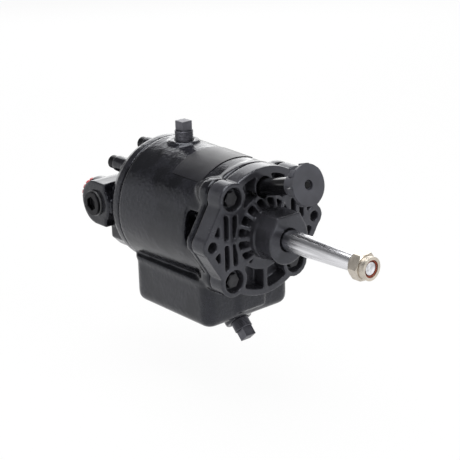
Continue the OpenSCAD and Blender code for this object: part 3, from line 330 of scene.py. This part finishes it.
def turned_steel(name, shade, roughness, line_depth):
    """Steel drawn along the shaft axis, with soft streaks along it and fine lines around it."""
    made = Finish(name)
    lines = made.cloud(scale=1, detail=2, stretch=(30, 2600, 30))
    streaks = made.cloud(scale=1, detail=3, stretch=(210, 7, 210))
    return made.surface(
        Base_Color=made.mix(made.ramp(streaks, 0.35, 0.6), shade, tint(shade, 0.6)),
        Metallic=1.0,
        Roughness=lines * 0.06 + (streaks * 0.10 + (roughness - 0.08)),
        Normal=made.bump(lines, line_depth))


def plated_steel(name, shade, roughness, patchy=0.25):
    """Plated or oxidised steel with uneven gloss and colour."""
    made = Finish(name)
    patches = made.cloud(scale=140, detail=4)
    grain = made.cloud(scale=1800, detail=1)
    return made.surface(
        Base_Color=made.mix(made.ramp(patches, 0.3, 0.7), tint(shade, 1 - patchy), tint(shade, 1 + patchy)),
        Metallic=1.0,
        Roughness=patches * 0.2 + (grain * 0.1 + (roughness - 0.15)),
        Normal=made.bump(grain * 0.5 + patches, 0.03 * MM))


def moulded_plastic(name, shade, roughness, grain_depth):
    """Moulded plastic or rubber with a fine grain."""
    made = Finish(name)
    grain = made.cloud(scale=1300, detail=2)
    flow = made.cloud(scale=70, detail=2)
    return made.surface(
        Base_Color=made.mix(made.ramp(flow, 0.35, 0.65), tint(shade, 0.88), tint(shade, 1.12)),
        Roughness=flow * 0.12 + (grain * 0.12 + (roughness - 0.12)),
        Specular_IOR_Level=0.4,
        Normal=made.bump(grain * 0.5 + flow * 0.5, grain_depth))


# Mesh tools

def copy_of(node):
    """Mesh of a CAD node, with its triangles joined and flat faces made whole."""
    mesh = bmesh.new()
    mesh.from_mesh(frame["nodes"][node].data)
    bmesh.ops.remove_doubles(mesh, verts=mesh.verts, dist=0.002 * MM)
    bmesh.ops.dissolve_limit(mesh, angle_limit=math.radians(0.6), verts=mesh.verts, edges=mesh.edges)
    return mesh


def bevel(mesh, edges, width, segments=2, slide=False):
    """Rounds some edges of a mesh."""
    bmesh.ops.bevel(mesh, geom=edges, offset=width, offset_type="OFFSET", affect="EDGES", segments=segments,
                    profile=0.5, material=-1, clamp_overlap=True, loop_slide=slide)
    return mesh


def edged(node):
    """Copy of a CAD node with its sharp edges rounded."""
    mesh = copy_of(node)
    sharp = [edge for edge in mesh.edges
             if len(edge.link_faces) == 2 and edge.calc_face_angle(0) > SHARP_EDGE]
    return bevel(mesh, sharp, EDGES[node] * MM, slide=True)


def cast(node, grain, passes):
    """Copy of a CAD node with the soft edges and fillets of a casting."""
    mesh = copy_of(node)
    data = bpy.data.meshes.new("pattern")
    mesh.to_mesh(data)
    mesh.free()
    pattern = bpy.data.objects.new("pattern", data)
    bpy.context.scene.collection.objects.link(pattern)
    skin = pattern.modifiers.new("Skin", "REMESH")
    skin.mode = "VOXEL"
    skin.voxel_size = grain
    shaped = pattern.evaluated_get(bpy.context.evaluated_depsgraph_get())
    mesh = bmesh.new()
    mesh.from_mesh(shaped.to_mesh())
    shaped.to_mesh_clear()
    bpy.data.objects.remove(pattern)
    bpy.data.meshes.remove(data)
    for _ in range(passes):
        bmesh.ops.smooth_vert(mesh, verts=mesh.verts, factor=0.5,
                              use_axis_x=True, use_axis_y=True, use_axis_z=True)
    return mesh


def spun(outline, steps=96):
    """Turned shape about the shaft axis: points of the outline are (radius, place along Y)."""
    mesh = bmesh.new()
    verts = [mesh.verts.new((radius, along, 0)) for radius, along in outline]
    edges = [mesh.edges.new(pair) for pair in zip(verts, verts[1:])]
    bmesh.ops.spin(mesh, geom=verts + edges, cent=(0, 0, 0), axis=(0, 1, 0), angle=math.tau,
                   steps=steps, use_merge=True)
    bmesh.ops.remove_doubles(mesh, verts=mesh.verts, dist=0.001 * MM)
    bmesh.ops.recalc_face_normals(mesh, faces=mesh.faces)
    return mesh


def threaded(start, end, radius, pitch, depth):
    """Outline of a thread as rings, from one place along the axis to another."""
    count = max(1, round(abs(end - start) / pitch))
    step = (end - start) / count
    points = []
    for turn in range(count):
        at = start + turn * step
        points += [(radius - depth, at), (radius, at + 0.35 * step), (radius, at + 0.65 * step)]
    return points + [(radius - depth, end)]


def pipe_plug(plugs, metal, seat):
    """Pipe plug with a threaded round part and a square head, moved to its seat."""
    top, rim = plugs.show, plugs.rim
    thread = threaded(-plugs.depth, top - 4 * rim, plugs.radius, metal.thread_pitch, metal.thread_depth)
    collar = [(plugs.radius, top - plugs.sink), (plugs.radius, top - rim), (plugs.radius - rim, top)]
    mesh = spun([(0, -plugs.depth), *thread, *collar, (0, top)])
    shape = Matrix.Diagonal((plugs.flats, plugs.head + plugs.sink, plugs.flats, 1))
    middle = Matrix.Translation((0, top + (plugs.head - plugs.sink) / 2, 0)) @ shape
    corners = bmesh.ops.create_cube(mesh, size=1, matrix=middle)["verts"]
    bevel(mesh, list({edge for corner in corners for edge in corner.link_edges}), plugs.edge)
    upright = Matrix.Rotation(math.radians(90), 4, "X")
    bmesh.ops.transform(mesh, matrix=seat @ upright, verts=mesh.verts)
    return mesh


def shaft_outline(shaft, metal):
    """Outline of the steering shaft from its threaded tip to its inner end."""
    thread = threaded(shaft.thread_from, shaft.thread_to, shaft.thread_r,
                      metal.thread_pitch, metal.thread_depth)
    return [
        (0, shaft.tip), (shaft.tip_r, shaft.tip), *thread,
        (shaft.neck_r, shaft.taper_from), (shaft.taper_r - shaft.taper_edge, shaft.taper_from),
        (shaft.taper_r, shaft.taper_from + shaft.taper_edge), (shaft.bar_r, shaft.taper_to),
        (shaft.bar_r, shaft.collar_from), (shaft.collar_r, shaft.collar_from),
        (shaft.collar_r, shaft.collar_to), (shaft.bar_r, shaft.collar_to),
        (shaft.bar_r, shaft.groove_from), (shaft.groove_r, shaft.groove_from),
        (shaft.groove_r, shaft.groove_to), (shaft.bar_r, shaft.groove_to),
        (shaft.bar_r, shaft.end - shaft.end_edge), (shaft.bar_r - shaft.end_edge, shaft.end), (0, shaft.end),
    ]


def round_corners(mesh, radius, thickness):
    """Rounds the corners of a thin plate, whose short edges are as long as its thickness."""
    short = [edge for edge in mesh.edges
             if edge.calc_length() < 1.5 * thickness and edge.calc_face_angle(0) > CORNER_EDGE]
    return bevel(mesh, short, radius, segments=5)


def piece(name, mesh, body, material, replaces):
    """Object for a mesh that rides on a body and stands for CAD nodes."""
    data = bpy.data.meshes.new(name)
    for face in mesh.faces:
        face.smooth = True
    mesh.to_mesh(data)
    mesh.free()
    data.set_sharp_from_angle(angle=CREASE)
    data.materials.append(material)
    made = bpy.data.objects.new(name, data)
    bpy.context.scene.collection.objects.link(made)
    normals = made.modifiers.new("Normals", "WEIGHTED_NORMAL")
    normals.keep_sharp = True
    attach(made, body)
    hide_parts(*replaces)
    return made


def dressed(node, material):
    """Gives a CAD node its finish."""
    slots = frame["nodes"][node].data.materials
    slots.clear()
    slots.append(material)


# Pieces

class HELM_OT_castings(Operator):
    """Body, front cover and rear cover, with rounded edges and black paint"""
    bl_idname = "helm.castings"
    bl_label = "Castings"

    def execute(self, context):
        paint = context.scene.helm_paint
        body = cast_paint("body_paint", tuple(paint.body), paint.gloss, paint.peel, paint.crest_sheen)
        cover = cast_paint("cover_paint", tuple(paint.cover), paint.cover_gloss, paint.cover_peel,
                           paint.cover_crest_sheen)
        shells = (("body_shell", "body_casting", paint.body_grain, 8, "body_paint", body),
                  ("cover_shell", "front_cover", paint.cover_grain, 5, "cover_paint", cover),
                  ("rear_shell", "rear_cover", paint.rear_grain, 4, "body_paint", body))
        for name, node, grain, passes, slot, coat in shells:
            piece(name, cast(node, grain, passes), "housing", coat, [node])
        return {"FINISHED"}


class HELM_OT_shaft(Operator):
    """Shaft, key, wheel nut and insert"""
    bl_idname = "helm.shaft"
    bl_label = "Shaft and nut"

    def execute(self, context):
        metal = context.scene.helm_metal
        plastic = context.scene.helm_plastic
        steel = turned_steel("shaft_steel", tuple(metal.shaft), roughness=0.22, line_depth=0.0001 * MM)
        bar = spun(shaft_outline(context.scene.helm_shaft, metal))
        piece("shaft_bar", bar, "shaft", steel, ["steering_shaft"])
        dressed("wheel_key", plated_steel("key_steel", tuple(metal.steel), roughness=0.4))
        nut = plated_steel("nut_zinc", tuple(metal.nut), roughness=0.36)
        piece("nut_body", edged("wheel_nut"), "shaft", nut, ["wheel_nut"])
        nylon = moulded_plastic("insert_nylon", tuple(plastic.insert), roughness=0.5, grain_depth=0.01 * MM)
        dressed("nut_insert", nylon)
        return {"FINISHED"}


class HELM_OT_fasteners(Operator):
    """Cover bolts, rear screws and pipe plugs"""
    bl_idname = "helm.fasteners"
    bl_label = "Bolts, screws and plugs"

    def execute(self, context):
        metal = context.scene.helm_metal
        plugs = context.scene.helm_plugs
        zinc = plated_steel("bolt_zinc", tuple(metal.zinc), roughness=0.42)
        dark = plated_steel("dark_steel", tuple(metal.dark), roughness=0.45)
        grey = plated_steel("plug_oxide", tuple(metal.plug), roughness=0.42)
        top = Matrix.Translation(plugs.top_seat)
        drain = Matrix.Translation(plugs.drain_seat) @ Matrix.Rotation(plugs.drain_tilt, 4, "X")
        piece("cover_bolts", edged("front_bolts"), "housing", zinc, ["front_bolts"])
        piece("rear_screw_set", edged("rear_screws"), "housing", dark, ["rear_screws"])
        piece("top_plug", pipe_plug(plugs, metal, top), "housing", grey, ["level_plug"])
        piece("bottom_plug", pipe_plug(plugs, metal, drain), "housing", grey, ["drain_plug"])
        return {"FINISHED"}


class HELM_OT_filler(Operator):
    """Filler neck, cap, vent and seals"""
    bl_idname = "helm.filler"
    bl_label = "Filler"

    def execute(self, context):
        plastic = context.scene.helm_plastic
        neck = moulded_plastic("neck_gloss", tuple(plastic.neck), roughness=0.16, grain_depth=0.004 * MM)
        cap = moulded_plastic("cap_satin", tuple(plastic.cap), roughness=0.45, grain_depth=0.02 * MM)
        rubber = moulded_plastic("seal_rubber", tuple(plastic.rubber), roughness=0.6, grain_depth=0.02 * MM)
        piece("neck_tube", edged("fill_neck"), "housing", neck, ["fill_neck"])
        piece("screw_cap", edged("fill_cap"), "filler_cap", cap, ["fill_cap"])
        # The vent core is darker than the neck's plastic: painted shade that stands in for the shadow in its
        # recess
        vent = moulded_plastic("vent_painted_shade", tint(plastic.neck, 0.4), roughness=0.85, grain_depth=0.01 * MM)
        piece("vent_core", edged("cap_vent"), "filler_cap", vent, ["cap_vent"])
        for node in ("neck_seal", "cap_seal", "shaft_seal", "front_gasket", "rear_gasket"):
            dressed(node, rubber)
        return {"FINISHED"}


class HELM_OT_label(Operator):
    """Bare label plate on the body's shoulder"""
    bl_idname = "helm.label"
    bl_label = "Label"

    def execute(self, context):
        plastic = context.scene.helm_plastic
        film = moulded_plastic("label_film", tuple(plastic.label), roughness=0.35, grain_depth=0.004 * MM)
        mesh = round_corners(copy_of("label_plate"), plastic.label_corner, plastic.label_t)
        piece("label_sheet", mesh, "housing", film, ["label_plate"])
        return {"FINISHED"}


class HELM_OT_valve(Operator):
    """End plugs and washers of the valve, and the transport caps"""
    bl_idname = "helm.valve"
    bl_label = "Valve"

    def execute(self, context):
        metal = context.scene.helm_metal
        plastic = context.scene.helm_plastic
        dark = plated_steel("end_plug_steel", tuple(metal.dark), roughness=0.4)
        red = moulded_plastic("port_red", tuple(plastic.port), roughness=0.4, grain_depth=0.01 * MM)
        dull = plated_steel("washer_zinc", tuple(metal.washer), roughness=0.45)
        ends = (("end_plug_set", "valve_end_plugs", dark), ("washer_set", "plug_washers", dull))
        for name, node, finish in ends:
            piece(name, edged(node), "housing", finish, [node])
        for side in SIDES:
            node = side + "_port_cap"
            piece(side + "_red_cap", edged(node), side + "_cap", red, [node])
        return {"FINISHED"}


class HELM_OT_inside(Operator):
    """Finishes of the pump and valve parts inside"""
    bl_idname = "helm.inside"
    bl_label = "Inside"

    def execute(self, context):
        metal = context.scene.helm_metal
        steel = plated_steel("ground_steel", tuple(metal.steel), roughness=0.3, patchy=0.08)
        wire = plated_steel("spring_wire", tuple(metal.steel), roughness=0.35, patchy=0.15)
        bronze = plated_steel("bearing_bronze", tuple(metal.bronze), roughness=0.35, patchy=0.15)
        finishes = {"ground_steel": steel, "key_steel": steel, "spring_steel": wire, "bronze": bronze}
        springs = [side + "_check_spring" for side in SIDES]
        for row in frame["record"]["subparts"]:
            if row["material_slot"] in finishes and row["node"] not in ("wheel_key", *springs):
                dressed(row["node"], finishes[row["material_slot"]])
        for side, node in zip(SIDES, springs):
            coil = piece(node + "_wire", copy_of(node), "housing", wire, [node])
            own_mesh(coil)
        return {"FINISHED"}


class HELM_OT_stage(Operator):
    """Floor, lamps, room light and camera"""
    bl_idname = "helm.stage"
    bl_label = "Stage"

    def execute(self, context):
        stage = context.scene.helm_stage
        self.floor(stage)
        self.room(stage)
        for lamp in LAMPS:
            self.lamp(*lamp)
        self.camera(stage)
        context.scene.view_settings.view_transform = "Standard"
        return {"FINISHED"}

    def floor(self, stage):
        """Pale paper below the object, which keeps its shadow and else looks white."""
        mesh = bmesh.new()
        bmesh.ops.create_grid(mesh, x_segments=1, y_segments=1, size=6)
        bmesh.ops.translate(mesh, verts=mesh.verts, vec=(0, 0, CAD_BOX[0][2] - stage.floor_drop))
        data = bpy.data.meshes.new("floor")
        mesh.to_mesh(data)
        mesh.free()
        paper = Finish("floor_paper")
        matt = paper.node("BsdfDiffuse", inputs={"Color": (*stage.floor, 1)})
        white = paper.node("Emission", inputs={"Color": (1, 1, 1, 1), "Strength": 1.0})
        mixed = paper.node("MixShader", inputs=(paper.seen() * stage.bleach, matt, white))
        paper.node("OutputMaterial", inputs={"Surface": mixed})
        data.materials.append(paper.material)
        made = bpy.data.objects.new("floor", data)
        bpy.context.scene.collection.objects.link(made)

    def room(self, stage):
        """Dim room with a white wall near the horizon."""
        world = bpy.data.worlds.new("room")
        bpy.context.scene.world = world
        room = Finish("room", world)
        height = room.node("SeparateXYZ", inputs=(room.node("TexCoord", output="Generated"),), output="Z")
        wall = room.ramp(height, low=0.32, high=0.05) * room.seen()
        shade = room.mix(wall, tuple(stage.surround), (1.0, 1.0, 1.0))
        glow = room.node("Background", inputs={"Color": shade})
        room.node("OutputWorld", inputs={"Surface": glow})

    def lamp(self, name, place, target, width, height, watts):
        """Soft lamp that lights a target and isn't seen itself."""
        data = bpy.data.lights.new(name, "AREA")
        data.shape = "RECTANGLE"
        data.size = width
        data.size_y = height
        data.energy = watts
        made = bpy.data.objects.new(name, data)
        bpy.context.scene.collection.objects.link(made)
        made.visible_camera = False
        made.location = place
        made.rotation_euler = (Vector(target) - Vector(place)).to_track_quat("-Z", "Y").to_euler()

    def camera(self, stage):
        """Camera set as the photograph's."""
        turn, rise = stage.azimuth, stage.elevation
        back = Vector((math.sin(turn) * math.cos(rise), -math.cos(turn) * math.cos(rise), math.sin(rise)))
        right = Vector((math.cos(turn), math.sin(turn), 0))
        facing = Matrix((right, back.cross(right), back)).transposed()
        yaw = math.atan((stage.centre_px[0] - PHOTO_PX / 2) / stage.focal_px)
        pitch = math.atan((stage.centre_px[1] - PHOTO_PX / 2) / stage.focal_px)
        aim = Matrix.Rotation(-stage.roll, 3, "Z")
        aim = aim @ Matrix.Rotation(yaw, 3, "Y") @ Matrix.Rotation(pitch, 3, "X")
        data = bpy.data.cameras.new("camera")
        data.sensor_width = 36
        data.lens = data.sensor_width * stage.focal_px / PHOTO_PX
        data.clip_end = 20
        made = bpy.data.objects.new("camera", data)
        bpy.context.scene.collection.objects.link(made)
        made.matrix_world = Matrix.Translation(back * stage.distance) @ (facing @ aim).to_4x4()
        bpy.context.scene.camera = made


OPERATORS = (HELM_OT_castings, HELM_OT_shaft, HELM_OT_fasteners, HELM_OT_filler, HELM_OT_label, HELM_OT_valve,
             HELM_OT_inside, HELM_OT_stage)
SETTINGS = {
    "helm_paint": HelmPaint, "helm_metal": HelmMetal, "helm_shaft": HelmShaft, "helm_plugs": HelmPlugs,
    "helm_plastic": HelmPlastic, "helm_stage": HelmStage,
}


class HELM_PT_parts(Panel):
    """List of the helm's pieces"""
    bl_idname = "HELM_PT_parts"
    bl_label = "Steering helm"
    bl_space_type = "VIEW_3D"
    bl_region_type = "UI"
    bl_category = "Helm"

    def draw(self, context):
        for operator in OPERATORS:
            self.layout.operator(operator.bl_idname)


def register():
    for group in SETTINGS.values():
        bpy.utils.register_class(group)
    for name, group in SETTINGS.items():
        setattr(bpy.types.Scene, name, PointerProperty(type=group))
    for operator in OPERATORS:
        bpy.utils.register_class(operator)
    bpy.utils.register_class(HELM_PT_parts)


def unregister():
    bpy.utils.unregister_class(HELM_PT_parts)
    for operator in reversed(OPERATORS):
        bpy.utils.unregister_class(operator)
    for name, group in SETTINGS.items():
        delattr(bpy.types.Scene, name)
        bpy.utils.unregister_class(group)


def main():
    register()
    for operator in OPERATORS:
        group, name = operator.bl_idname.split(".")
        getattr(getattr(bpy.ops, group), name)()


if __name__ == "__main__":
    main()
